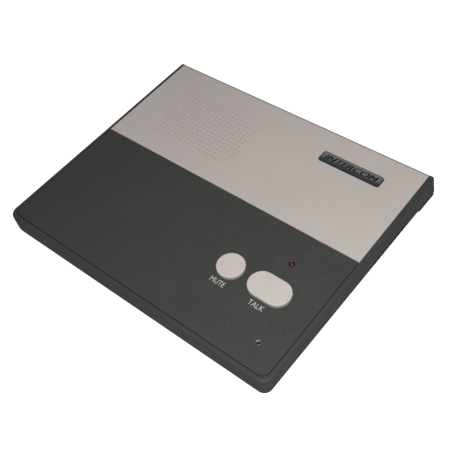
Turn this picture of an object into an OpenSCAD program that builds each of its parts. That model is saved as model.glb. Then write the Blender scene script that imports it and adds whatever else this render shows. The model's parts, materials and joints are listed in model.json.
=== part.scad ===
// Desk intercom station: a thin sloping slab with a speaker panel at the rear and a
// control panel at the front. Millimetres, +Z up, resting on z = 0, front towards -Y.
// Most pieces are placed in the deck frame (u, v, w): u right, v up the slope from the
// front edge of the panels, w out of the panels' top face.

/* [Panels] */
// Width of the two panels let into the top
panel_w = 184.4; // [176:0.2:192]
// Depth of the two panels together, along the slope
panel_d = 155.3; // [150:0.1:160]
// Distance from the front edge to the seam between the panels
seam_v = 82.3; // [80:0.1:84]
// Thickness of each panel
panel_t = 2; // [1.8:0.1:2.2]
// Corner radius of the control panel
panel_corner = 4.7; // [3:0.1:6]

/* [Housing] */
// Width of the dark rim around the panels
rim = 2.8; // [2.4:0.1:3.4]
// Wall thickness of the housing
wall = 2.2; // [1.8:0.1:2.4]
// Slope of the deck
tilt = 3.8; // [3.6:0.1:4]
// Height of the panels' front edge above the desk
front_h = 14.3; // [14.1:0.1:14.6]
// Thickness of the slab at its front edge
slab_front = 13; // [12.8:0.1:13.2]
// Thickness of the slab at its rear edge, above the foot bar
slab_rear = 21; // [20.7:0.1:21.2]

/* [Grille] */
// Columns of holes
grille_columns = 19; // [15:1:19]
// Rows of holes
grille_rows = 13; // [9:1:13]
// Pitch of the holes across
grille_pitch_u = 3.13; // [2.8:0.01:3.2]
// Pitch of the holes along the slope
grille_pitch_v = 3.05; // [2.8:0.01:3.1]
// Diameter of a hole
grille_hole = 0.95; // [0.8:0.05:1.4]

/* [Buttons] */
// Width of both buttons along the slope
button_d = 16; // [15:0.1:16.5]
// Length of the call button
call_length = 25.7; // [24:0.1:26.5]
// How far the buttons stand above the panel
button_up = 1.9; // [1.7:0.1:2.2]
// Travel of the buttons
button_travel = 1.4; // [1:0.1:1.4]

/* [Hidden] */
$fn = 48;
eps = 0.01;
big = 400;

// Housing, in the deck frame
outer_w = panel_w + 2 * rim;
outer_corner = 6;
side_draft = 0.067;
front_draft = 0.025;
rear_lean = 0.36;
rear_v = panel_d + 0.3;
block_depth = 28;
rear_corner = 1;
panel_gap = 0.25;
control_inset = 0.2;
under_slope = atan((slab_rear - slab_front) / (panel_d + rim + 1.7));
parting_up = 1.6;
parting_inset = 0.3;
floor_t = 2;
lip_t = 1.3;
lip_h = 2.6;
ledge = 4;
ledge_t = 1.6;
ledge_w = -panel_t;
cavity_w = ledge_w - ledge_t;
crossbar = 4.2;
lip_down = 3;
lip_wall = 1.5;
edge_round = 1.4;

// Rear foot bar
bar_v = 149;
bar_chamfer = 5;
bar_bottom = 0.7;
bar_floor = 3;

// World position of the deck frame: the outline is centred on y = 0
front_y = (front_draft * edge_round - rim) * cos(tilt) + edge_round * sin(tilt);
bar_rear_v = rear_v - parting_inset;
bar_rear_w = -(front_h + bar_rear_v * sin(tilt) - bar_bottom) / (cos(tilt) - rear_lean * sin(tilt));
rear_y = (bar_rear_v - rear_lean * bar_rear_w) * cos(tilt) - bar_rear_w * sin(tilt);
deck_y = -(front_y + rear_y) / 2;

// Feet
foot_r = 5;
foot_h = 2.1;
foot_play = 0.1;
foot_x = [78, 80];
foot_v = [14.6, 156.7];

// Screws that hold the two halves together
case_screw_u = 86.5;
case_screw_v = [6, 138];
case_seat_w = -9.8;
case_split_w = -7;
case_boss_r = 3.2;
case_recess_r = 3;

// Heat stakes that hold the panels
stake_r = 1.1;
stake_head_r = 1.9;
stake_head_h = 0.8;
stake_tab_r = 3.6;
control_stakes = [[-85.5, 72], [85.5, 72], [-50, 6.5], [50, 6.5], [-28, 80.2], [28, 80.2]];
speaker_stakes = [[-85.5, 94], [85.5, 94], [-85.5, 146], [85.5, 146], [-6, 84.4], [40, 84.4]];

// Vents along the side walls
vent_count = 8;
vent_v = 96;
vent_pitch = 4.15;
vent_w = 2.6;
vent_h = 3.1;

// Buttons
button_v = 42;
privacy_u = 38.3;
call_u = 63.9;
button_gap = 0.25;
button_wall = 1.2;
button_skirt_w = -panel_t - 0.3;
button_flange = 1.2;
button_flange_t = 0.9;
button_round = 0.5;
button_boss_r = 2.8;
button_boss_w = -1.6;

// Board and what stands on it
board_top = -8.2;
board_t = 1.6;
board_u = [8, 76];
board_v = [24, 150];
board_screw_at = [[14, 29], [71, 29], [14, 74], [71, 74], [14, 128], [71, 128]];
board_boss_r = 2.6;
board_pilot_r = 0.95;
board_pilot_top = -3.4;

// Push switches
switch_side = 7;
switch_top = -4.9;
plunger_side = 2.4;
plunger_low = -5.3;
plunger_play = 0.15;
plunger_well = -7;
spring_r = 2.2;
spring_wire = 0.35;
spring_turns = 4;

// Indicator and microphone
led_at = [63.6, 61.8];
led_r = 1.5;
led_dome_w = -0.7;
led_flange_w = -2.8;
led_flange_t = 0.9;
led_flange_r = 1.95;
led_pitch = 2.54;
lead_side = 0.45;
microphone_at = [77.8, 14.1];
microphone_r = 2.95;
microphone_top = -2.8;
microphone_low = -6.3;
boot_r = 4;
boot_low = -6.6;
boot_lip = 0.25;
sound_hole_r = 0.75;

// Speaker
speaker_at = [-41.3, 117.3];
speaker_r = 28.5;
gasket_t = 0.6;
basket_t = 0.7;
basket_top = -panel_t - gasket_t;
yoke_r = 14;
yoke_low = -12.6;
yoke_top = -8.4;
clamp_ring = 33;
clamp_angles = [0, 125, 235];
clamp_t = 0.9;
terminal_angle = -42;

// Nameplate
badge_at = [52.8, 135.1];
badge_size = [40.6, 7.8];
badge_t = 0.9;
badge_sunk = 0.3;
badge_corner = 1.4;

// Sockets and controls at the rear
dc_u = 66;
dc_w = -7.4;
dc_bore_r = 3.15;
line_u = 50;
line_w = -6;
line_bore_r = 1.8;
socket_face_v = 154.4;
power_u = 34.5;
power_travel = 3;
volume_at = [18, 150.2];
wheel_r = 8.9;
wheel_low = -7.2;
wheel_t = 2.4;
wheel_teeth = 40;
wheel_shaft_r = 1.5;

// ---------------------------------------------------------------- helpers

// Places children given in the deck frame into the world frame.
module deck() {
    translate([0, deck_y, front_h]) rotate([tilt, 0, 0]) children();
}

// Extrudes a flat outline of the deck from w = low to w = high.
module slab(low, high) {
    translate([0, 0, low]) linear_extrude(high - low) children();
}

// Points of an arc about a centre, from one angle to another.
function arc(centre, r, from, to, steps = 12) =
    [for (i = [0:steps]) centre + r * [cos(from + (to - from) * i / steps),
                                       sin(from + (to - from) * i / steps)]];

// Outline with round front corners and nearly sharp rear ones.
function plan(half, front, rear, front_r, rear_r) = concat(
    arc([half - front_r, front + front_r], front_r, -90, 0),
    arc([half - rear_r, rear - rear_r], rear_r, 0, 90, 3),
    arc([-half + rear_r, rear - rear_r], rear_r, 90, 180, 3),
    arc([-half + front_r, front + front_r], front_r, 180, 270));

// One thin layer of the drafted body, at depth w, pulled in by inset.
module body_layer(w, inset) {
    slab(w - eps, w) polygon(plan(outer_w / 2 - inset + side_draft * w, -rim + inset - front_draft * w,
                                  rear_v - rear_lean * w - inset,
                                  max(outer_corner + side_draft * w - inset, 1), rear_corner));
}

// The drafted body as one convex block, far deeper than the slab. Its top edge is rounded.
module body_block(inset = 0) {
    hull() {
        for (a = [0:15:90])
            body_layer(-edge_round * (1 - sin(a)), inset + edge_round * (1 - cos(a)));
        body_layer(-block_depth, inset);
    }
}

// Everything below a plane that lies up above the slab's underside.
module below_under(up) {
    translate([0, -rim, -slab_front + up]) rotate([-under_slope, 0, 0])
        translate([-big / 2, -big / 2, -big]) cube([big, big, big]);
}

module above_under(up) {
    translate([0, -rim, -slab_front + up]) rotate([-under_slope, 0, 0])
        translate([-big / 2, -big / 2, 0]) cube([big, big, big]);
}

// Height w of the slab's floor inside, at a place v along the slope.
function floor_w(v) = -slab_front + floor_t - tan(under_slope) * (v + rim);

module post(at, r, low, high) {
    translate([at[0], at[1], low]) cylinder(r = r, h = high - low);
}

module block(from, to) {
    translate(from) cube(to - from);
}

// Cylinder along v, between two places on the slope.
module rod_v(u, w, r, from, to) {
    translate([u, from, w]) rotate([-90, 0, 0]) cylinder(r = r, h = to - from);
}

// Outline of a button, grown by more on every side.
module button_outline(length, more) {
    r = button_d / 2 + more;
    half = (length - button_d) / 2;
    polygon(concat(arc([half, 0], r, -90, 90, 24), arc([-half, 0], r, 90, 270, 24)));
}

function unit(a) = a / norm(a);

// Round tube along a list of points, none of whose directions is along ref.
module tube(points, r, sides = 8, ref = [1, 1, 0]) {
    last = len(points) - 1;
    dirs = [for (i = [0:last]) unit(points[min(i + 1, last)] - points[max(i - 1, 0)])];
    rings = [for (i = [0:last])
        let (side = unit(cross(dirs[i], ref)),
             up = cross(side, dirs[i]))
        [for (k = [0:sides - 1])
            points[i] + r * (cos(360 * k / sides) * side + sin(360 * k / sides) * up)]];
    walls = [for (i = [0:last - 1]) for (k = [0:sides - 1])
        let (a = i * sides + k, b = i * sides + (k + 1) % sides)
        each [[a, a + sides, b], [b, a + sides, b + sides]]];
    caps = [[for (k = [0:sides - 1]) k], [for (k = [sides - 1:-1:0]) last * sides + k]];
    polyhedron([for (ring = rings) each ring], concat(walls, caps));
}

// Points of a smooth curve through a few chosen points.
function smooth(p, steps = 5) = concat([for (i = [0:len(p) - 2])
    let (a = p[max(i - 1, 0)], b = p[i], c = p[i + 1], d = p[min(i + 2, len(p) - 1)])
    for (k = [0:steps - 1])
        let (t = k / steps)
        0.5 * (2 * b + (c - a) * t + (2 * a - 5 * b + 4 * c - d) * t * t
               + (3 * b - a - 3 * c + d) * t * t * t)], [p[len(p) - 1]]);

// ---------------------------------------------------------------- housing

module panel_opening() {
    half = panel_w / 2 + panel_gap;
    polygon(plan(half, -panel_gap, rear_v + 5, panel_corner + panel_gap, 0.5));
}

module ledge_opening() {
    half = panel_w / 2 - ledge;
    translate([8, panel_d - ledge - eps]) square([66, 3.15]);
    difference() {
        translate([-half, ledge]) square([2 * half, panel_d - 2 * ledge]);
        translate([-half, seam_v - crossbar]) square([2 * half, 2 * crossbar]);
        for (at = concat(control_stakes, speaker_stakes)) translate(at) circle(r = stake_tab_r);
        for (side = [-1, 1]) for (v = case_screw_v)
            translate([side * case_screw_u, v]) circle(r = case_boss_r + 1);
    }
}

// Cut-outs of the rear wall for the sockets and controls.
module rear_cutouts() {
    through = [socket_face_v + 0.1, rear_v + 8];
    rod_v(dc_u, dc_w, 4, through[0], through[1]);
    rod_v(line_u, line_w, 2.7, socket_face_v - 2, through[1]);
    block([power_u - 3.6, 152, -7.2], [power_u + 3.6, through[1], -4.8]);
    block([volume_at[0] - 8.6, 150, wheel_low - 0.4],
          [volume_at[0] + 8.6, through[1], wheel_low + wheel_t + 0.4]);
}

module side_vents() {
    for (side = [-1, 1]) for (i = [0:vent_count - 1]) {
        v = vent_v + i * vent_pitch;
        low = floor_w(v) - floor_t + parting_up;
        block([side > 0 ? 88 : -100, v - vent_w / 2, low - 1],
              [side > 0 ? 100 : -88, v + vent_w / 2, low + vent_h]);
    }
}

module upper_housing() {
    color("#444545") deck() difference() {
        union() {
            difference() {
                body_block();
                below_under(parting_up);
                slab(ledge_w, 1) panel_opening();
                slab(cavity_w - 1, 1) ledge_opening();
                translate([-panel_w / 2 - panel_gap, rear_v - lip_wall - 0.1, -lip_down - 0.05])
                    cube([panel_w + 2 * panel_gap, 10, 5]);
                intersection() {
                    body_block(wall);
                    slab(-block_depth, cavity_w) square(big, center = true);
                }
            }
            for (side = [-1, 1]) for (v = case_screw_v)
                post([side * case_screw_u, v], case_boss_r, case_split_w, cavity_w + eps);
        }
        for (side = [-1, 1]) for (v = case_screw_v)
            post([side * case_screw_u, v], 1.15, case_split_w - 1, -4);
        for (at = concat(control_stakes, speaker_stakes)) post(at, stake_r + 0.1, cavity_w - 1, 0);
        rear_cutouts();
        side_vents();
    }
}

// The rear bar that the slab leans back on, with a sloping front face.
module foot_bar() {
    difference() {
        body_block(parting_inset);
        above_under(eps);
        translate([-big / 2, -big, -big / 2]) cube([big, big + bar_v - bar_chamfer, big]);
        translate([0, bar_v, floor_w(bar_v) - floor_t - bar_chamfer]) rotate([45, 0, 0])
            translate([-big / 2, -big, -big / 2]) cube([big, big, big]);
    }
}

// The hollow of the rear bar, level with the desk, given in the deck frame.
module bar_channel() {
    half = outer_w / 2 - 6;
    rotate([-tilt, 0, 0]) translate([-half, bar_v + 2, bar_floor - front_h])
        cube([2 * half, 40, 30]);
}

module lower_housing() {
    color("#3d3e3e") difference() {
        deck() difference() {
            union() {
                difference() {
                    body_block(parting_inset);
                    below_under(0);
                    above_under(parting_up);
                }
                difference() {
                    body_block(wall + 0.15);
                    below_under(parting_up - eps);
                    above_under(floor_t + lip_h);
                }
                foot_bar();
            }
            intersection() {
                body_block(wall + 0.15 + lip_t);
                union() {
                    above_under(floor_t);
                    bar_channel();
                }
            }
        }
        world_cuts();
        deck() lower_deck_cuts();
    }
    color("#3d3e3e") lower_bosses();
}

// Cuts of the lower housing that are square to the desk.
module world_cuts() {
    translate([-big / 2, -big / 2, bar_bottom - big]) cube([big, big, big]);
    feet(foot_play);
}

module lower_deck_cuts() {
    side_vents();
    for (side = [-1, 1]) for (v = case_screw_v)
        post([side * case_screw_u, v], case_recess_r + 1, -30, case_seat_w);
}

// Posts of the lower housing that take the case screws, each with its own deep recess.
module lower_bosses() {
    deck() difference() {
        intersection() {
            for (side = [-1, 1]) for (v = case_screw_v)
                post([side * case_screw_u, v], case_recess_r + 1.4, -30, case_split_w);
            body_block(wall + 0.15);
        }
        below_under(0);
        for (side = [-1, 1]) for (v = case_screw_v) {
            post([side * case_screw_u, v], case_recess_r, -31, case_seat_w);
            post([side * case_screw_u, v], 1.6, -31, 0);
        }
    }
}

module feet(more) {
    for (side = [-1, 1]) for (i = [0, 1])
        translate([side * foot_x[i], deck_y + foot_v[i], -more])
            cylinder(r = foot_r + more, h = foot_h + more);
}

module rubber_feet() {
    color("#1c1c1c") feet(0);
}

// ---------------------------------------------------------------- panels

module stakes(places) {
    for (at = places) {
        post(at, stake_r, cavity_w, -panel_t + eps);
        post(at, stake_head_r, cavity_w - stake_head_h, cavity_w);
    }
}

module board_bosses(places) {
    for (at = places) difference() {
        post(at, board_boss_r, board_top, -panel_t + eps);
        post(at, board_pilot_r, board_top - 1, board_pilot_top);
    }
}

function grille_u(i) = speaker_at[0] + (i - (grille_columns - 1) / 2) * grille_pitch_u;
function grille_v(j) = speaker_at[1] + (j - (grille_rows - 1) / 2) * grille_pitch_v;
function near_end(i, n) = i < 2 || i > n - 3;

// Through holes, with blind dimples in the four corners of the field.
module grille() {
    for (i = [0:grille_columns - 1]) for (j = [0:grille_rows - 1]) {
        blind = near_end(i, grille_columns) && near_end(j, grille_rows);
        translate([grille_u(i), grille_v(j), blind ? -0.6 : -panel_t - 1])
            cylinder(d = grille_hole, h = panel_t + 2, $fn = 16);
    }
}

// Section of the speaker panel: flat, with a rounded rear edge and a lip turned down.
module speaker_panel_section() {
    lean = rear_lean * edge_round;
    polygon(concat([[seam_v + 0.05, 0]],
                   arc([rear_v - edge_round, -edge_round], edge_round, 90, 0, 10),
                   [[rear_v + rear_lean * lip_down - lean, -lip_down],
                    [rear_v + rear_lean * lip_down - lean - lip_wall, -lip_down],
                    [rear_v - lip_wall, -panel_t],
                    [seam_v + 0.05, -panel_t]]));
}

module speaker_panel() {
    color("#bdb3ae") deck() difference() {
        union() {
            translate([panel_w / 2, 0, 0]) rotate([90, 0, -90])
                linear_extrude(panel_w) mirror([1, 0]) speaker_panel_section();
            stakes(speaker_stakes);
            board_bosses([board_screw_at[4], board_screw_at[5]]);
            difference() {
                post(speaker_at, speaker_r + 1.5, -3.3, -panel_t + eps);
                post(speaker_at, speaker_r + 0.2, -4, -panel_t);
            }
            for (a = clamp_angles) post(clamp_at(a), 2.3, -3.6, -panel_t + eps);
        }
        grille();
        for (a = clamp_angles) post(clamp_at(a), 0.95, -4, -0.9);
        translate([badge_at[0], badge_at[1], -badge_sunk]) linear_extrude(1)
            badge_outline(0.1);
    }
}

module control_panel() {
    color("#464745") deck() difference() {
        union() {
            slab(-panel_t, 0) polygon(plan(panel_w / 2 - control_inset, control_inset, seam_v - 0.15,
                                           panel_corner - control_inset, 0.2));
            stakes(control_stakes);
            board_bosses([for (i = [0:3]) board_screw_at[i]]);
            difference() {
                post(microphone_at, boot_r + 1, -4.6, -panel_t + eps);
                post(microphone_at, boot_r, -5, -panel_t);
            }
        }
        translate([privacy_u, button_v, -panel_t - 1]) linear_extrude(5)
            button_outline(button_d, button_gap);
        translate([call_u, button_v, -panel_t - 1]) linear_extrude(5)
            button_outline(call_length, button_gap);
        post(led_at, led_r + 0.1, -panel_t - 1, 1);
        translate([led_at[0], led_at[1], -0.3]) cylinder(r1 = led_r + 0.1, r2 = led_r + 0.4, h = 0.3 + eps);
        post(microphone_at, sound_hole_r, -panel_t - 1, 1);
        translate([microphone_at[0], microphone_at[1], -0.8])
            cylinder(r1 = sound_hole_r, r2 = 1.7, h = 0.8 + eps);
    }
}

module badge_outline(more) {
    half = badge_size / 2 + [more, more];
    r = badge_corner + more;
    polygon(concat(arc(half - [r, r], r, 0, 90), arc([r - half[0], half[1] - r], r, 90, 180),
                   arc([r, r] - half, r, 180, 270), arc([half[0] - r, r - half[1]], r, 270, 360)));
}

module nameplate() {
    color("#6b7070") deck() translate([badge_at[0], badge_at[1], -badge_sunk])
        linear_extrude(badge_t) badge_outline(0);
}

// ---------------------------------------------------------------- buttons and switches

// Hollow cap with a flange under the panel and a post over the switch.
module button_cap(length) {
    ceiling = button_up - button_wall;
    difference() {
        union() {
            hull() {
                slab(button_skirt_w, button_up - button_round) button_outline(length, 0);
                for (a = [30, 60, 90]) slab(0, button_up - button_round * (1 - sin(a)))
                    button_outline(length, -button_round * (1 - cos(a)));
            }
            slab(button_skirt_w - button_flange_t, button_skirt_w)
                button_outline(length, button_flange);
        }
        slab(button_skirt_w - 2, ceiling) button_outline(length, -button_wall);
    }
    slab(button_boss_w, ceiling + eps) circle(r = button_boss_r);
}

module call_button() {
    color("#cdc5c0") deck() translate([call_u, button_v]) button_cap(call_length);
}

module privacy_button() {
    color("#cdc5c0") deck() translate([privacy_u, button_v]) button_cap(button_d);
}

module switch_body(u) {
    color("#2a2a2c") deck() translate([u, button_v, 0]) difference() {
        slab(board_top, switch_top) square(switch_side, center = true);
        slab(plunger_well, 0) square(plunger_side + 2 * plunger_play, center = true);
    }
}

module switch_plunger(u) {
    color("#e8e6dc") deck() translate([u, button_v, 0])
        slab(plunger_low, button_boss_w) square(plunger_side, center = true);
}

module switch_spring(u) {
    low = switch_top + spring_wire / 2 + 0.02;
    high = button_boss_w - spring_wire / 2 - 0.02;
    steps = spring_turns * 14;
    color("#b9bcc0") deck() translate([u, button_v, 0])
        tube([for (i = [0:steps]) [spring_r * cos(360 * spring_turns * i / steps),
                                   spring_r * sin(360 * spring_turns * i / steps),
                                   low + (high - low) * i / steps]],
             spring_wire / 2, 6, [0, 0, 1]);
}

// ---------------------------------------------------------------- indicator and microphone

module indicator_led() {
    color("#7a0f1c") deck() translate([led_at[0], led_at[1], 0]) {
        rotate_extrude() polygon(concat(
            [[0, led_flange_w - led_flange_t], [led_flange_r, led_flange_w - led_flange_t],
             [led_flange_r, led_flange_w], [led_r, led_flange_w]],
            arc([0, led_dome_w], led_r, 0, 90)));
    }
}

module led_leads() {
    top = led_flange_w - led_flange_t;
    color("#c8c9cb") deck() for (side = [-1, 1])
        translate([led_at[0] + side * led_pitch / 2, led_at[1], 0])
            slab(board_top - board_t - 0.6, top) square(lead_side, center = true);
}

module led_spacer() {
    color("#202022") deck() difference() {
        post(led_at, 2.4, board_top, led_flange_w - led_flange_t);
        post(led_at, 1.7, board_top - 1, 0);
    }
}

module microphone_capsule() {
    color("#b4b6b8") deck() translate([microphone_at[0], microphone_at[1], 0]) rotate_extrude()
        polygon([[0, microphone_low], [microphone_r - 0.3, microphone_low],
                 [microphone_r, microphone_low + 0.3], [microphone_r, microphone_top],
                 [0.6, microphone_top], [0.6, microphone_top - 0.4], [0, microphone_top - 0.4]]);
}

module microphone_boot() {
    color("#19191a") deck() difference() {
        post(microphone_at, boot_r, boot_low, -panel_t);
        post(microphone_at, microphone_r, microphone_low, microphone_top);
        post(microphone_at, microphone_r - 0.5, boot_low - 1, microphone_low + eps);
        post(microphone_at, sound_hole_r, microphone_top - 1, 0);
    }
}

// Point i of a route, moved sideways in the deck's plane.
function beside(p, i, by) =
    let (d = p[min(i + 1, len(p) - 1)] - p[max(i - 1, 0)]) p[i] + by * unit([-d[1], d[0], 0]);

// Two thin insulated wires side by side, further apart where they begin.
module wire_pair(points, begin) {
    for (side = [-1, 1])
        tube(smooth([for (i = [0:len(points) - 1])
            beside(points, i, side * (i == 0 ? begin : 1.5) / 2)]), 0.5);
}

microphone_route = [[77.8, 14.1, -6.45], [77.6, 14.3, -7.3], [75.2, 16, -8.4], [72, 18, -8.6],
                    [67, 19.6, -8.2], [62, 20.2, -7.2], [58.2, 21.4, -6.4], [56.2, 24, -6],
                    [56, 26.2, -6], [56, 28.3, -6]];

module microphone_leads() {
    color("#8d2a2a") deck() wire_pair(microphone_route, 1.5);
}

// ---------------------------------------------------------------- speaker

function clamp_at(a) = speaker_at + clamp_ring * [cos(a), sin(a)];

module on_speaker() {
    deck() translate([speaker_at[0], speaker_at[1], 0]) children();
}

module speaker_gasket() {
    color("#2b2b2b") on_speaker() difference() {
        cylinder_between(speaker_r, basket_top, -panel_t);
        cylinder_between(25.4, basket_top - 1, 0);
    }
}

module cylinder_between(r, low, high) {
    translate([0, 0, low]) cylinder(r = r, h = high - low, $fn = 96);
}

// Pressed steel basket: flange, sloping wall with windows, and a ring on the yoke.
module speaker_basket() {
    color("#8f9294") on_speaker() difference() {
        rotate_extrude($fn = 96) polygon([
            [25.4, basket_top], [speaker_r, basket_top], [speaker_r, basket_top - basket_t],
            [26.1, basket_top - basket_t], [20, yoke_top], [11, yoke_top],
            [11, yoke_top + basket_t], [19.4, yoke_top + basket_t], [25.4, basket_top - 0.6]]);
        for (a = [0:60:300]) rotate([0, 0, a + 20]) translate([22.2, 0, -9])
            cylinder(r = 2.6, h = 5.2);
    }
}

module speaker_cone() {
    color("#2e2c2b") on_speaker() rotate_extrude($fn = 96) polygon(concat(
        [[25.3, basket_top - 0.15]], arc([23.6, basket_top - 0.8], 1.1, 60, 180, 8),
        [[8.2, -6.4], [7.1, -6.6], [7.1, -6.9], [8.4, -6.8], [22.4, basket_top - 1.15]],
        arc([23.6, basket_top - 0.8], 0.8, 170, 60, 8), [[25.3, basket_top - 0.45]]));
}

module speaker_dust_cap() {
    color("#26282a") on_speaker() rotate_extrude($fn = 64) polygon(concat(
        [[0, -4.6], [0, -4.9]], arc([0, -14.05], 9.15, 88, 51, 8),
        arc([0, -14.05], 9.45, 51, 90, 8)));
}

module speaker_voice_coil() {
    color("#b0662f") on_speaker() difference() {
        cylinder_between(7.05, -10.9, -6.62);
        cylinder_between(6.75, -12, 0);
    }
}

module speaker_yoke() {
    color("#9da1a4") on_speaker() difference() {
        cylinder_between(yoke_r, yoke_low, yoke_top);
        cylinder_between(12.6, yoke_low + 1.2, 0);
    }
}

// The magnet disc stands inside the yoke cup, and the plate on it fills the coil.
module speaker_magnet() {
    color("#54565a") on_speaker() cylinder_between(6.3, yoke_low + 1.2, -9.4);
}

module speaker_top_plate() {
    color("#a9adb0") on_speaker() {
        cylinder_between(6.5, -9.4, -8);
        difference() {
            cylinder_between(12.6, -9.7, yoke_top);
            cylinder_between(7.4, -10, 0);
        }
    }
}

module speaker_terminals() {
    low = basket_top - basket_t;
    color("#c9b27a") on_speaker() rotate([0, 0, terminal_angle]) {
        block([26.2, -5, low - 0.8], [28.3, 5, low]);
        for (side = [-1, 1]) block([26.8, side * 2.8 - 0.9, low - 2.6], [27.6, side * 2.8 + 0.9, low - 0.8]);
    }
}

module speaker_clamps() {
    low = basket_top - basket_t - clamp_t;
    color("#b7babc") on_speaker() for (a = clamp_angles) rotate([0, 0, a]) difference() {
        union() {
            block([26.8, -3, low - 0.3], [30.6, 3, low + clamp_t - 0.02]);
            block([30.6 - eps, -3, low - 0.3], [35.8, 3, -3.62]);
        }
        translate([clamp_ring, 0, low - 1]) cylinder(r = 1.25, h = 3);
    }
}

// Pan-head screw that points up, with a cross recess in its head.
module screw(shank_r, length, head_r, head_h) {
    cylinder(r = shank_r, h = length);
    translate([0, 0, -head_h]) difference() {
        cylinder(r1 = head_r * 0.85, r2 = head_r, h = head_h);
        for (a = [0, 90]) rotate([0, 0, a])
            translate([-head_r * 0.6, -head_r * 0.14, -1])
                cube([head_r * 1.2, head_r * 0.28, 1 + head_h * 0.55]);
    }
}

module speaker_screws() {
    seat = basket_top - basket_t - clamp_t - 0.3;
    color("#c9cbcc") deck() for (a = clamp_angles)
        translate([clamp_at(a)[0], clamp_at(a)[1], seat]) screw(0.9, 3.2, 2, 1.1);
}

speaker_route = [[-20.3, 98.4, -5.2], [-18, 96.7, -6.4], [-14, 95, -8.4], [-8, 93.6, -9.6],
                 [-1, 94.2, -8.8], [4, 96.2, -7.2], [8, 97.5, -6.1], [10.2, 97.6, -6], [12.4, 97.6, -6]];

module speaker_leads() {
    color("#a33030") deck() wire_pair(speaker_route, 5.6);
}

// ---------------------------------------------------------------- board

module main_board() {
    color("#2f6b3d") deck() difference() {
        block([board_u[0], board_v[0], board_top - board_t], [board_u[1], board_v[1], board_top]);
        for (at = board_screw_at) post(at, 1.2, -20, 0);
        post(volume_at, 5.05, -20, 0);
        block([dc_u - 5, 140.6, -20], [dc_u + 5, 160, 0]);
        for (side = [-1, 1]) post([led_at[0] + side * led_pitch / 2, led_at[1]], 0.45, -20, 0);
    }
}

module board_screws() {
    color("#c9cbcc") deck() for (at = board_screw_at)
        translate([at[0], at[1], board_top - board_t]) screw(0.9, 5.6, 2.1, 1);
}

// Body of a dual in-line chip, with its marking notch.
module chip(at, length) {
    deck() translate([at[0], at[1], board_top + 0.6]) difference() {
        translate([-length / 2, -3.2, 0]) cube([length, 6.4, 3.3]);
        translate([-length / 2, 0, 2.9]) cylinder(r = 0.9, h = 1);
    }
}

amplifier_at = [24, 100];
switching_at = [46, 74];

module amplifier_chip() { color("#1d1d1f") chip(amplifier_at, 9.6); }

module switching_chip() { color("#1d1d1f") chip(switching_at, 19.2); }

// Legs stand beside the chip bodies and reach the board.
module legs(at, per_side) {
    for (side = [-1, 1]) for (i = [0:per_side - 1])
        translate([at[0] + (i - (per_side - 1) / 2) * 2.54, at[1] + side * 3.5, board_top])
            translate([-0.3, -0.3 + 0.001 * side, 0]) cube([0.6, 0.6, 2.4]);
}

module chip_legs() {
    color("#c4c6c8") deck() {
        legs(amplifier_at, 4);
        legs(switching_at, 7);
    }
}

module electrolytic_capacitors() {
    upright = [[30, 60, 3.15], [22, 91, 2.5], [44, 92, 3.15], [52, 92, 3.15], [30, 112, 2.5],
               [58, 120, 2.5], [22, 53.5, 2.5]];
    color("#2c3550") deck() {
        for (c = upright) post(c, c[2], board_top, board_top + 5.2);
        translate([37, 126, board_top + 3]) rotate([0, 90, 0]) cylinder(r = 3, h = 12, center = true);
        translate([37, 134, board_top + 3]) rotate([0, 90, 0]) cylinder(r = 3, h = 12, center = true);
    }
}

module film_capacitors() {
    at = [[50, 62], [43, 101], [64, 95], [64, 88], [34, 55], [51, 55.5]];
    color("#8c2f28") deck() for (c = at)
        block([c[0] - 3.4, c[1] - 1.3, board_top], [c[0] + 3.4, c[1] + 1.3, board_top + 4.6]);
}

// Axial resistors lying on the board in rows.
module resistors() {
    rows = [[22, 68.4, 3], [58, 108, 4], [34, 106.5, 3], [68, 108, 3]];
    color("#c8a878") deck() for (row = rows) for (i = [0:row[2] - 1])
        translate([row[0] - 3.1, row[1] - 2.8 * i, board_top + 1.15]) {
            rotate([0, 90, 0]) cylinder(r = 1.1, h = 6.2, $fn = 24);
            for (x = [-0.9, 6.5]) translate([x, -0.3, -1.15]) cube([0.6, 0.6, 1.4]);
            for (x = [-0.9, 6.2]) translate([x, -0.3, -0.3]) cube([0.9, 0.6, 0.55]);
        }
}

module transistors() {
    at = [[54, 82], [48, 84], [20, 110], [66, 118]];
    color("#1a1a1c") deck() for (c = at) translate([c[0], c[1], 0])
        slab(board_top, board_top + 4.4) difference() {
            circle(r = 2.3);
            translate([-3, -4.4]) square([6, 3]);
        }
}

transformer_at = [34, 117.6];

module transformer_core() {
    color("#6d7073") deck() translate([transformer_at[0] + 16, transformer_at[1] + 15.5, board_top])
        difference() {
            translate([-5.5, -6.5, 0]) cube([11, 13, 5.8]);
            for (side = [-1, 1]) translate([-6, side * 3.6 - 1.4, -1]) cube([12, 2.8, 8]);
        }
}

module transformer_coil() {
    color("#c99a4a") deck() translate([transformer_at[0] + 16, transformer_at[1] + 15.5, board_top + 0.2])
        for (side = [-1, 1]) translate([-5, side * 3.6 - 1.35, 0]) cube([10, 2.7, 5.2]);
}

module header(at, turn) {
    translate([at[0], at[1], board_top]) rotate([0, 0, turn]) {
        difference() {
            translate([-3, -2.2, 0]) cube([6, 4.4, 4.4]);
            translate([-2.4, -3, 0.9]) cube([4.8, 4.6, 3]);
        }
        for (side = [-1, 1]) translate([side - 0.25, 0.6, 1.9]) cube([0.5, 1.2, 0.5]);
    }
}

module wire_headers() {
    color("#e6e1d2") deck() {
        header([56, 27.9], 0);
        header([12, 97.6], -90);
    }
}

// ---------------------------------------------------------------- rear controls and sockets

module volume_potentiometer() {
    color("#39393b") deck() difference() {
        post(volume_at, 5, board_top - board_t, wheel_low - 0.2);
        post(volume_at, wheel_shaft_r + 0.04, board_top - board_t + 0.4, 0);
    }
}

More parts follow.
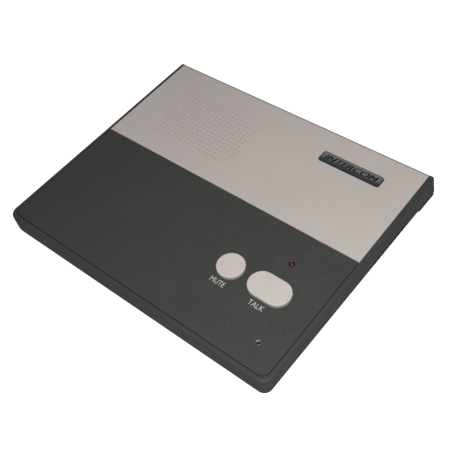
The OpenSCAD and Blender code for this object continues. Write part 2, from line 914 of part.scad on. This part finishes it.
// Knurled thumbwheel with its shaft.
module volume_wheel() {
    knurl = [for (i = [0:wheel_teeth - 1]) for (k = [0:3])
        let (a = 360 * (i + [0, 0.3, 0.5, 0.8][k]) / wheel_teeth,
             r = wheel_r - (k > 1 ? 0.35 : 0))
        r * [cos(a), sin(a)]];
    color("#161617") deck() translate([volume_at[0], volume_at[1], wheel_low]) {
        linear_extrude(wheel_t) polygon(knurl);
        translate([0, 0, -1.6]) cylinder(r = wheel_shaft_r, h = 1.6 + eps);
    }
}

module power_switch_body() {
    color("#b3b6b8") deck() difference() {
        block([power_u - 4.5, 148.4, board_top], [power_u + 4.5, socket_face_v, -3.9]);
        block([power_u - 3.5, 152.2, -7.15], [power_u + 3.5, 156, -4.85]);
    }
}

module power_switch_slider() {
    rest = power_u - power_travel / 2;
    color("#161617") deck() block([rest - 1.4, 152.4, -7], [rest + 1.4, 159.1, -5]);
}

module dc_jack_body() {
    color("#1b1b1d") deck() difference() {
        block([dc_u - 4.5, 141, dc_w - 4.5], [dc_u + 4.5, socket_face_v, dc_w + 4.5]);
        rod_v(dc_u, dc_w, dc_bore_r, 145, 160);
    }
}

module dc_jack_pin() {
    color("#d5d3c8") deck() {
        rod_v(dc_u, dc_w, 1, 145, 152.6);
        translate([dc_u, 152.6, dc_w]) sphere(r = 1, $fn = 32);
    }
}

module line_jack() {
    color("#1b1b1d") deck() difference() {
        union() {
            block([line_u - 3.25, 142, board_top], [line_u + 3.25, socket_face_v, -3.3]);
            rod_v(line_u, line_w, 2.55, socket_face_v - eps, 157.6);
        }
        rod_v(line_u, line_w, line_bore_r, 143, 160);
    }
}

// Spring contact that lies along the side of the line jack.
module line_jack_contact() {
    color("#c9b27a") deck()
        block([line_u + 3.26, 144, board_top + 0.3], [line_u + 3.6, 152, board_top + 3.6]);
}

module housing_screws() {
    color("#8c8f91") deck() for (side = [-1, 1]) for (v = case_screw_v)
        translate([side * case_screw_u, v, case_seat_w]) screw(1.1, 5.4, 2.5, 1.5);
}

// ---------------------------------------------------------------- nodes

upper_housing();
lower_housing();
speaker_panel();
control_panel();
nameplate();
call_button();
privacy_button();
switch_body(call_u);  // call_switch_body
switch_plunger(call_u);  // call_switch_plunger
switch_spring(call_u);  // call_switch_spring
switch_body(privacy_u);  // privacy_switch_body
switch_plunger(privacy_u);  // privacy_switch_plunger
switch_spring(privacy_u);  // privacy_switch_spring
indicator_led();
led_leads();
led_spacer();
microphone_capsule();
microphone_boot();
microphone_leads();
speaker_gasket();
speaker_basket();
speaker_cone();
speaker_dust_cap();
speaker_voice_coil();
speaker_top_plate();
speaker_magnet();
speaker_yoke();
speaker_terminals();
speaker_clamps();
speaker_screws();
speaker_leads();
main_board();
board_screws();
amplifier_chip();
switching_chip();
chip_legs();
electrolytic_capacitors();
film_capacitors();
resistors();
transistors();
transformer_core();
transformer_coil();
wire_headers();
volume_potentiometer();
volume_wheel();
power_switch_body();
power_switch_slider();
dc_jack_body();
dc_jack_pin();
line_jack();
line_jack_contact();
housing_screws();
rubber_feet();
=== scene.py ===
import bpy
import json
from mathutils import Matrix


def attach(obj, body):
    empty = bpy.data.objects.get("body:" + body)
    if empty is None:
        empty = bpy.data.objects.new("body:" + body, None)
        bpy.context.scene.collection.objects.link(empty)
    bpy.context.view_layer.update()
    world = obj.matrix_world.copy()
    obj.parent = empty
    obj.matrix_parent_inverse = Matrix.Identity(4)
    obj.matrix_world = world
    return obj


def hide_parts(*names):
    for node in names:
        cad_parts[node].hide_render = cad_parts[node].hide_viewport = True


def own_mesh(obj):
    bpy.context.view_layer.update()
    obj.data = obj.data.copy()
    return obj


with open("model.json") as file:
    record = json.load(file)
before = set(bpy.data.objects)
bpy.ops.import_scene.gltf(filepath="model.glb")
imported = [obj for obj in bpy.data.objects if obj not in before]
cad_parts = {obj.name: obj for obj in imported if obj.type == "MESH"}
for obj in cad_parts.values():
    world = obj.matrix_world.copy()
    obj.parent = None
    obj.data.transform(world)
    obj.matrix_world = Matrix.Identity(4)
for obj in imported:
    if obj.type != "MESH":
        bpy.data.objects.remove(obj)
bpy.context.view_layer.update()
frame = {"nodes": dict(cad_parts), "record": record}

# The looks of the desk intercom station: camera, light, materials, printed words, nameplate
# lettering, and the springs under the buttons.

import json
import math

import bmesh
import bpy
from mathutils import Matrix, Vector

MM = 0.001
STATION = "station"

# The deck is the sloping top, from the middle of its front edge: right, up the slope, out of it
TILT = math.radians(3.8)
DECK_ORIGIN = Vector((0, -81.365, 14.3)) * MM
DECK = Matrix.Translation(DECK_ORIGIN) @ Matrix.Rotation(TILT, 4, "X")

# Places on the deck, in millimetres
MICROPHONE = (77.8, 14.1)
MUTE_BUTTON = (38.3, 42)
TALK_BUTTON = (63.9, 42)
# Heights of the buttons' side band, which gets painted shade
BUTTON_SHADED_BAND = (1.1, 1.5)
BADGE = (52.8, 135.1)
BADGE_HALF = (20.3, 3.9)
BADGE_TOP = 0.61
PANEL_REAR = 155.3

# The slots low on both side walls, and the walls' outer skin
VENT_FIRST = 96
VENT_PITCH = 4.15
VENT_COUNT = 8
VENT_WIDTH = 2.6
VENT_CEILING = -6
SKIN_HALF = 94.6
SIDE_DRAFT = 0.067
VENT_INNER = 87.5


# ---------------------------------------------------------------- camera, light, floor

scene = bpy.context.scene
scene.view_settings.view_transform = "Standard"

camera_data = bpy.data.cameras.new("camera")
camera_data.sensor_width = 36
camera_data.lens = 59.15
camera_data.shift_y = -0.0008
camera_data.clip_start = 0.01
camera_data.clip_end = 20
camera = bpy.data.objects.new("camera", camera_data)
camera.matrix_world = Matrix((
    (0.77365, -0.43754, 0.45828, 0.20623),
    (0.62966, 0.61155, -0.47909, -0.21622),
    (-0.07064, 0.65921, 0.74863, 0.32660),
    (0, 0, 0, 1)))
scene.collection.objects.link(camera)
scene.camera = camera

world = bpy.data.worlds.new("studio")
world.use_nodes = True
world.node_tree.nodes["Background"].inputs["Color"].default_value = (1, 1, 1, 1)
world.node_tree.nodes["Background"].inputs["Strength"].default_value = 0.215
scene.world = world


def area_light(name, place, aim, size, watts, colour):
    data = bpy.data.lights.new(name, "AREA")
    data.shape = "DISK"
    data.size = size
    data.energy = watts
    data.color = colour
    lamp = bpy.data.objects.new(name, data)
    lamp.location = place
    lamp.rotation_mode = "QUATERNION"
    lamp.rotation_quaternion = (Vector(aim) - Vector(place)).to_track_quat("-Z", "Y")
    scene.collection.objects.link(lamp)


area_light("key", (0.25, -0.23, 0.44), (0.02, -0.01, 0.0), 0.10, 2.12, (1, 0.995, 0.985))

FLOOR_HALF = 6
floor_mesh = bpy.data.meshes.new("floor")
floor_mesh.from_pydata(
    [(x * FLOOR_HALF, y * FLOOR_HALF, 0) for x, y in ((-1, -1), (1, -1), (1, 1), (-1, 1))],
    [], [(0, 1, 2, 3)])
floor = bpy.data.objects.new("floor", floor_mesh)
scene.collection.objects.link(floor)


# ---------------------------------------------------------------- materials

class Shader:
    """A material's node tree, with short ways to add what the surfaces here need.

    Keyword constants are set on the shader's own sockets.
    """

    def __init__(self, name, rough=0.5, metallic=0.0, **constants):
        self.material = bpy.data.materials.new(name)
        self.material.use_nodes = True
        self.tree = self.material.node_tree
        self.bsdf = self.tree.nodes["Principled BSDF"]
        self.bsdf.inputs["Metallic"].default_value = metallic
        self.bsdf.inputs["Roughness"].default_value = rough
        for key, value in constants.items():
            self.bsdf.inputs[key.replace("_", " ")].default_value = value
        self.place = self.tree.nodes.new("ShaderNodeTexCoord").outputs["Object"]
        self.height = None

    def link(self, value, socket):
        if isinstance(value, bpy.types.NodeSocket):
            self.tree.links.new(value, socket)
        else:
            socket.default_value = value

    def math(self, kind, a, b=0.0, c=0.0):
        node = self.tree.nodes.new("ShaderNodeMath")
        node.operation = kind
        for socket, value in zip(node.inputs, (a, b, c)):
            self.link(value, socket)
        return node.outputs[0]

    def noise(self, size, detail=2.0, rough=0.5, stretch=(1, 1, 1)):
        """Noise between 0 and 1 whose lumps are about size millimetres across."""
        node = self.tree.nodes.new("ShaderNodeTexNoise")
        node.inputs["Scale"].default_value = 1 / (size * MM)
        node.inputs["Detail"].default_value = detail
        node.inputs["Roughness"].default_value = rough
        self.link(self.stretched(stretch), node.inputs["Vector"])
        return node.outputs["Fac"]

    def stretched(self, stretch):
        if stretch == (1, 1, 1):
            return self.place
        node = self.tree.nodes.new("ShaderNodeMapping")
        node.inputs["Scale"].default_value = stretch
        self.link(self.place, node.inputs["Vector"])
        return node.outputs["Vector"]

    def dots(self, pitch, radius, share):
        """1 in round dots about pitch millimetres apart, on a share of the cells, else 0.

        The radius is a share of the pitch.
        """
        node = self.tree.nodes.new("ShaderNodeTexVoronoi")
        node.inputs["Scale"].default_value = 1 / (pitch * MM)
        self.link(self.place, node.inputs["Vector"])
        near = self.ramp(node.outputs["Distance"], radius, radius * 0.5)
        split = self.tree.nodes.new("ShaderNodeSeparateColor")
        self.link(node.outputs["Color"], split.inputs["Color"])
        return self.math("MULTIPLY", near, self.math("LESS_THAN", split.outputs["Red"], share))

    def deck_axes(self):
        """The place on the sloping top: millimetres right, up the slope and out of it."""
        node = self.tree.nodes.new("ShaderNodeMapping")
        node.vector_type = "TEXTURE"
        node.inputs["Location"].default_value = DECK_ORIGIN
        node.inputs["Rotation"].default_value = (TILT, 0, 0)
        node.inputs["Scale"].default_value = (MM, MM, MM)
        self.link(self.place, node.inputs["Vector"])
        split = self.tree.nodes.new("ShaderNodeSeparateXYZ")
        self.link(node.outputs["Vector"], split.inputs["Vector"])
        return split.outputs

    def distance(self, u, v):
        """Millimetres from a point of the sloping top, measured along it."""
        axes = self.deck_axes()
        across = self.math("SUBTRACT", axes["X"], u)
        along = self.math("SUBTRACT", axes["Y"], v)
        square = self.math("MULTIPLY", across, across)
        return self.math("SQRT", self.math("MULTIPLY_ADD", along, along, square))

    def ramp(self, value, low, high, to_low=0.0, to_high=1.0):
        """Maps value from low..high to to_low..to_high, smoothly and clamped."""
        node = self.tree.nodes.new("ShaderNodeMapRange")
        node.interpolation_type = "SMOOTHSTEP"
        for socket, v in zip(node.inputs, (value, low, high, to_low, to_high)):
            self.link(v, socket)
        return node.outputs["Result"]

    def link_colour(self, value, socket):
        self.link(value if isinstance(value, bpy.types.NodeSocket) else (*value, 1), socket)

    def mix(self, factor, a, b):
        """Colour a where factor is 0, and b where it is 1."""
        node = self.tree.nodes.new("ShaderNodeMix")
        node.data_type = "RGBA"
        self.link(factor, node.inputs["Factor"])
        for key, value in (("A", a), ("B", b)):
            socket = next(s for s in node.inputs if s.name == key and s.type == "RGBA")
            self.link_colour(value, socket)
        return next(s for s in node.outputs if s.type == "RGBA")

    def colour(self, value):
        self.link_colour(value, self.bsdf.inputs["Base Color"])

    def rough(self, value):
        self.link(value, self.bsdf.inputs["Roughness"])

    def bump(self, height, depth):
        """Adds bumps depth millimetres deep."""
        scaled = self.math("MULTIPLY", height, depth * MM)
        self.height = scaled if self.height is None else self.math("ADD", self.height, scaled)

    def done(self):
        if self.height is not None:
            node = self.tree.nodes.new("ShaderNodeBump")
            node.inputs["Distance"].default_value = 1.0
            node.inputs["Strength"].default_value = 1.0
            self.link(self.height, node.inputs["Height"])
            self.link(node.outputs["Normal"], self.bsdf.inputs["Normal"])
        return self.material


def shade(colour, k):
    return tuple(min(1.0, c * k) for c in colour)


def inside_vents(s):
    """1 on the inner faces of the slots along the side walls, which get painted shade, 0 on their
    outer skin.
    """
    axes = s.deck_axes()
    side = s.math("ABSOLUTE", axes["X"])
    skin = s.math("MULTIPLY_ADD", axes["Z"], SIDE_DRAFT, SKIN_HALF)
    within = s.math("LESS_THAN", side, skin)
    depth = s.math("MULTIPLY", within, s.math("GREATER_THAN", side, VENT_INNER))
    half = VENT_PITCH / 2
    wrapped = s.math("WRAP", axes["Y"], VENT_FIRST + half, VENT_FIRST - half)
    off_slot = s.math("ABSOLUTE", s.math("SUBTRACT", wrapped, VENT_FIRST))
    slot = s.math("LESS_THAN", off_slot, VENT_WIDTH / 2 + 0.1)
    middle = VENT_FIRST + half * (VENT_COUNT - 1)
    off_middle = s.math("ABSOLUTE", s.math("SUBTRACT", axes["Y"], middle))
    row = s.math("LESS_THAN", off_middle, half * VENT_COUNT)
    low = s.math("LESS_THAN", axes["Z"], VENT_CEILING)
    return s.math("MULTIPLY", s.math("MULTIPLY", depth, slot), s.math("MULTIPLY", row, low))


# Painted shade for the inside of the slots, where little light gets in.
VENT_SHADE = (0.004, 0.004, 0.004)


def moulded(name, colour, rough, grain, depth=0.012, vary=0.06, fleck=None, share=0.2, vents=False):
    """Moulded plastic: grain of a size in millimetres, slow changes of tone, a few pale flecks.

    vary is the change of tone, depth the grain's depth, and share the part of the cells
    with a fleck. vents paints shade on the inside of the slots in the side walls.
    """
    s = Shader(name, rough)
    fine = s.noise(grain, 3.0, 0.6)
    broad = s.noise(34, 3.0, 0.55)
    tone = s.mix(s.ramp(broad, 0.3, 0.7), shade(colour, 1 - vary), shade(colour, 1 + vary))
    tone = s.mix(s.ramp(fine, 0.35, 0.72, 0.0, 0.5), tone, shade(colour, 1 + 2.2 * vary))
    if fleck:
        tone = s.mix(s.dots(1.5, 0.16, share), tone, fleck)
    if vents:
        # Painted shade inside the side slots.
        tone = s.mix(inside_vents(s), tone, VENT_SHADE)
    s.colour(tone)
    s.rough(s.ramp(s.noise(9, 4.0), 0.25, 0.75, rough - 0.06, rough + 0.07))
    s.bump(fine, depth)
    s.bump(s.noise(60, 1.0), 0.03)
    return s.done()


def metal(name, colour, rough=0.3, stretch=(1, 1, 1), size=0.5, depth=0.004):
    """Plated or drawn metal with a fine finish and slight tarnish."""
    s = Shader(name, rough, 1.0)
    fine = s.noise(size, 4.0, 0.6, stretch)
    s.colour(s.mix(s.ramp(s.noise(5, 3.0), 0.35, 0.7), shade(colour, 0.82), colour))
    s.rough(s.ramp(fine, 0.3, 0.7, rough - 0.08, rough + 0.12))
    s.bump(fine, depth)
    return s.done()


def microphone_ring_highlight(s):
    """1 on the countersink round the microphone's hole, where a paler painted highlight goes, a
    little uneven.
    """
    u, v = MICROPHONE
    near = s.distance(u, v)
    axes = s.deck_axes()
    skew = s.math("ABSOLUTE", s.math("SUBTRACT", s.math("SUBTRACT", axes["Y"], axes["X"]), v - u))
    ring = s.math("MULTIPLY", s.ramp(near, 0.95, 1.2), s.ramp(near, 1.72, 1.55))
    return s.math("MULTIPLY", ring, s.ramp(skew, 0.7, 1.9, 0.1, 0.85))


def dark_panel():
    """Painted panel with pale flecks, fewer to the left, and painted shade darkening it to the
    left, where less light falls.
    """
    s = Shader("dark_panel", 0.5)
    fine = s.noise(0.32, 3.0, 0.6)
    broad = s.noise(46, 3.0, 0.6)
    base = (0.0446, 0.0456, 0.0424)
    tone = s.mix(s.ramp(broad, 0.3, 0.7), shade(base, 0.95), shade(base, 1.05))
    tone = s.mix(s.ramp(fine, 0.42, 0.7, 0.0, 0.8), tone, shade(base, 1.35))
    across = s.deck_axes()["X"]
    # Painted shade: darker to the left, where less light falls.
    tone = s.mix(s.ramp(across, -95, -5, 0.55, 0.0), tone, shade(base, 0.76))
    # Pale flecks thin out to the left.
    fleck_share_to_right = s.ramp(across, -60, 45, 0.3, 1.0)
    for dots, fleck in (
            (s.dots(0.95, 0.28, 0.35), (0.090, 0.092, 0.074)),
            (s.dots(1.7, 0.17, 0.25), (0.15, 0.15, 0.13)),
            (s.dots(4.5, 0.06, 0.2), (0.24, 0.24, 0.22))):
        tone = s.mix(s.math("MULTIPLY", dots, fleck_share_to_right), tone, fleck)
    # Painted highlight on the countersink round the microphone's hole.
    tone = s.mix(microphone_ring_highlight(s), tone, (0.30, 0.30, 0.29))
    s.colour(tone)
    s.rough(s.ramp(s.noise(12, 4.0), 0.25, 0.75, 0.46, 0.6))
    s.bump(fine, 0.014)
    s.bump(s.noise(70, 1.0), 0.05)
    return s.done()


def pale_panel():
    """Silver paint with painted shade on the rolled rear edge."""
    s = Shader("pale_panel", 0.42)
    fine = s.noise(0.22, 2.0, 0.6)
    broad = s.noise(52, 3.0, 0.6)
    base = (0.560, 0.510, 0.482)
    tone = s.mix(s.ramp(broad, 0.3, 0.7), shade(base, 0.975), shade(base, 1.02))
    tone = s.mix(s.ramp(fine, 0.4, 0.75, 0.0, 0.5), tone, shade(base, 1.1))
    tone = s.mix(s.dots(2.2, 0.1, 0.14), tone, shade(base, 0.72))
    # Painted shade on the rolled rear edge, which faces away from the light.
    rolled_edge_shade = s.ramp(s.deck_axes()["Y"], PANEL_REAR - 1.8, PANEL_REAR - 0.7)
    tone = s.mix(rolled_edge_shade, tone, shade(base, 0.42))
    s.colour(tone)
    s.rough(s.ramp(s.noise(14, 4.0), 0.25, 0.75, 0.36, 0.5))
    s.bump(fine, 0.005)
    s.bump(s.noise(80, 1.0), 0.06)
    return s.done()


def button_plastic():
    """Smooth pale plastic, with painted shade on the side band below the crown."""
    s = Shader("button_plastic", 0.4)
    base = (0.625, 0.572, 0.545)
    fine = s.noise(0.25, 2.0)
    tone = s.mix(s.ramp(s.noise(7, 3.0), 0.3, 0.7), shade(base, 0.97), shade(base, 1.03))
    tone = s.mix(s.dots(1.9, 0.1, 0.12), tone, shade(base, 0.7))
    low, high = BUTTON_SHADED_BAND
    # Painted shade on the side band below the crown.
    s.colour(s.mix(s.ramp(s.deck_axes()["Z"], high, low), tone, shade(base, 0.8)))
    s.rough(s.ramp(s.noise(4, 3.0), 0.3, 0.7, 0.34, 0.46))
    s.bump(fine, 0.004)
    return s.done()


def nameplate_face():
    """Brushed foil with ruled dark lines along its lower edge and a dark border."""
    s = Shader("nameplate_face", 0.4, 0.45)
    axes = s.deck_axes()
    brushed = s.noise(0.5, 3.0, 0.6, (0.04, 1, 1))
    up = s.math("SUBTRACT", axes["Y"], BADGE[1])
    tone = s.mix(s.ramp(up, -1.9, 3.5), (0.15, 0.155, 0.15), (0.25, 0.26, 0.245))
    tone = s.mix(s.ramp(brushed, 0.3, 0.7, 0, 0.3), tone, (0.30, 0.31, 0.31))
    tone = s.mix(s.ramp(up, -1.2, -1.8), tone, (0.035, 0.037, 0.055))
    ruled = s.math("PINGPONG", up, 0.42)
    rules = s.math("MULTIPLY", s.ramp(ruled, 0.24, 0.34), s.ramp(up, -1.1, -1.5, 0.0, 0.9))
    tone = s.mix(rules, tone, (0.15, 0.155, 0.18))
    off_x = s.math("ABSOLUTE", s.math("SUBTRACT", axes["X"], BADGE[0]))
    off_y = s.math("ABSOLUTE", up)
    border = s.math("MAXIMUM", s.ramp(off_x, BADGE_HALF[0] - 0.7, BADGE_HALF[0] - 0.4),
                    s.ramp(off_y, BADGE_HALF[1] - 0.55, BADGE_HALF[1] - 0.3))
    tone = s.mix(border, tone, (0.03, 0.032, 0.032))
    s.colour(tone)
    s.rough(s.ramp(brushed, 0.3, 0.7, 0.26, 0.46))
    s.bump(brushed, 0.003)
    return s.done()


def red_lens():
    s = Shader("red_lens", 0.08, Transmission_Weight=0.15, IOR=1.5)
    depth = s.ramp(s.noise(1.2, 2.0), 0.3, 0.7)
    s.colour(s.mix(depth, (0.050, 0.003, 0.010), (0.085, 0.005, 0.014)))
    s.rough(s.ramp(s.noise(0.6, 2.0), 0.3, 0.7, 0.05, 0.14))
    s.bump(s.noise(0.9, 1.0), 0.003)
    return s.done()


def board_mask():
    """Green solder mask with copper tracks showing faintly under it."""
    s = Shader("board_mask", 0.3)
    node = s.tree.nodes.new("ShaderNodeTexBrick")
    node.inputs["Scale"].default_value = 1 / (6 * MM)
    node.inputs["Mortar Size"].default_value = 0.05
    s.link(s.place, node.inputs["Vector"])
    tone = s.mix(node.outputs["Fac"], (0.012, 0.075, 0.028), (0.03, 0.13, 0.05))
    s.colour(s.mix(s.dots(3.1, 0.2, 0.3), tone, (0.42, 0.40, 0.33)))
    s.rough(s.ramp(s.noise(3, 3.0), 0.3, 0.7, 0.24, 0.4))
    s.bump(node.outputs["Fac"], 0.02)
    return s.done()


def pressed_paper():
    s = Shader("pressed_paper", 0.85)
    fibres = s.noise(0.7, 5.0, 0.7)
    s.colour(s.mix(s.ramp(fibres, 0.3, 0.7), (0.012, 0.011, 0.011), (0.045, 0.042, 0.040)))
    s.rough(s.ramp(fibres, 0.3, 0.7, 0.75, 0.95))
    s.bump(fibres, 0.05)
    return s.done()


def wound_copper():
    s = Shader("wound_copper", 0.35, 0.9)
    node = s.tree.nodes.new("ShaderNodeTexWave")
    node.bands_direction = "Z"
    node.inputs["Scale"].default_value = 1 / (1.2 * MM)
    node.inputs["Distortion"].default_value = 0.4
    s.link(s.place, node.inputs["Vector"])
    s.colour(s.mix(node.outputs["Fac"], (0.22, 0.07, 0.02), (0.62, 0.27, 0.10)))
    s.rough(s.ramp(node.outputs["Fac"], 0, 1, 0.45, 0.25))
    s.bump(node.outputs["Fac"], 0.05)
    return s.done()


HOUSING = (0.0392, 0.0414, 0.0402)
LOOKS = {
    "housing": moulded("housing_plastic", HOUSING, 0.66, 0.4, 0.014, 0.05,
                       fleck=(0.16, 0.16, 0.15), share=0.12, vents=True),
    "base": moulded("base_plastic", shade(HOUSING, 0.75), 0.6, 0.4, 0.014,
                    fleck=(0.12, 0.12, 0.11), share=0.12, vents=True),
    "pale_panel": pale_panel(),
    "dark_panel": dark_panel(),
    "nameplate": nameplate_face(),
    "button": button_plastic(),
    "switch_case": moulded("switch_plastic", (0.02, 0.02, 0.021), 0.5, 0.3),
    "nylon": moulded("nylon", (0.72, 0.70, 0.62), 0.4, 0.3),
    "spring_wire": metal("spring_wire", (0.62, 0.63, 0.65), 0.25),
    "red_lens": red_lens(),
    "tinned_lead": metal("tinned_lead", (0.68, 0.68, 0.70), 0.35),
    "aluminium_can": metal("aluminium_can", (0.70, 0.71, 0.72), 0.3),
    "rubber": moulded("foot_rubber", (0.014, 0.014, 0.014), 0.8, 0.3, 0.02, 0.15,
                      fleck=(0.06, 0.06, 0.06)),
    "wire_insulation": moulded("wire_vinyl", (0.30, 0.02, 0.02), 0.4, 0.6),
    "gasket": moulded("gasket_card", (0.03, 0.03, 0.03), 0.9, 0.5, 0.05),
    "plated_steel": metal("plated_steel", (0.60, 0.61, 0.62), 0.3),
    "cone_paper": pressed_paper(),
    "copper": wound_copper(),
    "magnet": metal("magnet_plate", (0.22, 0.23, 0.25), 0.4),
    "brass": metal("brass", (0.66, 0.50, 0.24), 0.32),
    "board": board_mask(),
    "epoxy": moulded("epoxy", (0.014, 0.014, 0.015), 0.55, 0.2),
    "capacitor_sleeve": moulded("capacitor_sleeve", (0.018, 0.026, 0.075), 0.28, 0.8, 0.006),
    "film_dip": moulded("film_dip", (0.26, 0.03, 0.02), 0.2, 1.2, 0.03),
    "resistor_body": moulded("resistor_body", (0.55, 0.36, 0.18), 0.35, 0.8, 0.02),
    "core_steel": metal("core_steel", (0.30, 0.31, 0.32), 0.5, (1, 1, 8), 1.0, 0.02),
    "black_control": moulded("control_plastic", (0.013, 0.013, 0.014), 0.48, 0.3, 0.012, 0.1),
    "jack_plastic": moulded("jack_plastic", (0.013, 0.013, 0.015), 0.3, 0.4, 0.006, 0.1),
    "nickel": metal("nickel", (0.78, 0.76, 0.72), 0.18),
}

SLOTS = {part["node"]: part["material_slot"] for part in frame["record"]["subparts"]}

for name, piece in frame["nodes"].items():
    piece.data.materials.clear()
    piece.data.materials.append(LOOKS[SLOTS[name]])


def floor_paper():
    """Studio paper: near white to the camera, and grey in what it throws back on the walls."""
    s = Shader("floor_paper", 0.9, Emission_Color=(1, 1, 1, 1))
    seen = s.tree.nodes.new("ShaderNodeLightPath").outputs["Is Camera Ray"]
    s.link(s.math("MULTIPLY_ADD", seen, 0.62, 0.03), s.bsdf.inputs["Emission Strength"])
    paper = s.mix(s.noise(120, 2.0), (0.90, 0.90, 0.90), (0.93, 0.93, 0.93))
    s.colour(s.mix(seen, (0.45, 0.45, 0.45), paper))
    s.bump(s.noise(2.0, 2.0), 0.02)
    return s.done()


floor.data.materials.append(floor_paper())


# ---------------------------------------------------------------- printed words

LAYER = 0.003


def words(name, text, centre, width, height, look, up=0.012, thick=0.01, bold=(0,), slant=0.0):
    """Flat lettering on the deck, fitted to a width and a capital height in millimetres.

    bold lists the sideways shifts, in millimetres, at which the letters are laid over each
    other, each one LAYER above the last.
    """
    curve = bpy.data.curves.new(name, "FONT")
    curve.body = text
    curve.align_x = "CENTER"
    curve.align_y = "CENTER"
    curve.shear = slant
    piece = bpy.data.objects.new(name, curve)
    scene.collection.objects.link(piece)
    bpy.context.view_layer.update()
    corners = [Vector(c) for c in piece.bound_box]
    low = Vector(map(min, *corners))
    high = Vector(map(max, *corners))
    mesh = bpy.data.meshes.new_from_object(piece)
    bpy.data.objects.remove(piece)
    middle = (low + high) / 2
    scale = Matrix.Diagonal((width * MM / (high.x - low.x), height * MM / (high.y - low.y), 1, 1))
    mesh.transform(scale @ Matrix.Translation(-middle))
    stack = bmesh.new()
    for level, shift in enumerate(bold):
        copy = mesh.copy()
        copy.transform(Matrix.Translation(Vector((shift, 0, LAYER * level)) * MM))
        stack.from_mesh(copy)
        bpy.data.meshes.remove(copy)
    stack.to_mesh(mesh)
    stack.free()
    mesh.transform(DECK @ Matrix.Translation(Vector((*centre, up)) * MM))
    mesh.materials.append(look)
    piece = bpy.data.objects.new(name, mesh)
    scene.collection.objects.link(piece)
    solid = piece.modifiers.new("thickness", "SOLIDIFY")
    solid.thickness = thick * MM
    solid.offset = 1
    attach(piece, STATION)


def print_ink():
    """Pale ink, worn thin in places."""
    s = Shader("print_ink", 0.5)
    worn = s.noise(0.8, 4.0, 0.7)
    s.colour(s.mix(s.ramp(worn, 0.25, 0.6), (0.42, 0.42, 0.41), (0.62, 0.62, 0.61)))
    s.rough(s.ramp(worn, 0.3, 0.7, 0.45, 0.6))
    s.bump(worn, 0.01)
    return s.done()


INK = print_ink()
LETTER_BLACK = moulded("letter_black", (0.008, 0.008, 0.009), 0.3, 0.3, 0.004, 0.2)
words("label_mute", "MUTE", (38.25, 30.55), 9.2, 3.1, INK)
words("label_talk", "TALK", (63.75, 30.5), 9.6, 3.1, INK)
words("nameplate_word", "INTERCOM", (52.9, 135.5), 35.2, 3.7, LETTER_BLACK,
      up=BADGE_TOP, thick=0.05, bold=(-0.26, -0.09, 0.09, 0.26), slant=0.3)


# ---------------------------------------------------------------- springs under the buttons

SPRING_R = 2.2
SPRING_WIRE = 0.35
SPRING_TURNS = 4
SPRING_FOOT = -4.9
SPRING_HEAD = -1.6
SPRING_GAP = 0.02
STEPS_A_TURN = 28
WIRE_SIDES = 10


def coil(name, node, button):
    """A coil spring on top of its switch, drawn in place of the part's own spring, which is hidden.
    """
    u, v = button
    wire = SPRING_WIRE / 2
    low = SPRING_FOOT + wire + SPRING_GAP
    high = SPRING_HEAD - wire - SPRING_GAP
    steps = SPRING_TURNS * STEPS_A_TURN
    build = bmesh.new()
    rings = []
    for step in range(steps + 1):
        turn = 2 * math.pi * SPRING_TURNS * step / steps
        out = Vector((math.cos(turn), math.sin(turn), 0))
        middle = Vector((u, v, low + (high - low) * step / steps)) + out * SPRING_R
        ring = []
        for side in range(WIRE_SIDES):
            angle = 2 * math.pi * side / WIRE_SIDES
            point = middle + out * wire * math.cos(angle) + Vector((0, 0, wire * math.sin(angle)))
            ring.append(build.verts.new(DECK @ (point * MM)))
        rings.append(ring)
    for before, after in zip(rings, rings[1:]):
        for side in range(WIRE_SIDES):
            beside = (side + 1) % WIRE_SIDES
            face = build.faces.new((before[side], before[beside], after[beside], after[side]))
            face.smooth = True
    build.faces.new(rings[0])
    build.faces.new(rings[-1])
    bmesh.ops.recalc_face_normals(build, faces=build.faces)
    mesh = bpy.data.meshes.new(name)
    build.to_mesh(mesh)
    build.free()
    mesh.materials.append(LOOKS["spring_wire"])
    piece = bpy.data.objects.new(name, mesh)
    scene.collection.objects.link(piece)
    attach(piece, STATION)
    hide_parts(node)
    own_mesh(piece)


coil("call_coil", "call_switch_spring", TALK_BUTTON)
coil("privacy_coil", "privacy_switch_spring", MUTE_BUTTON)
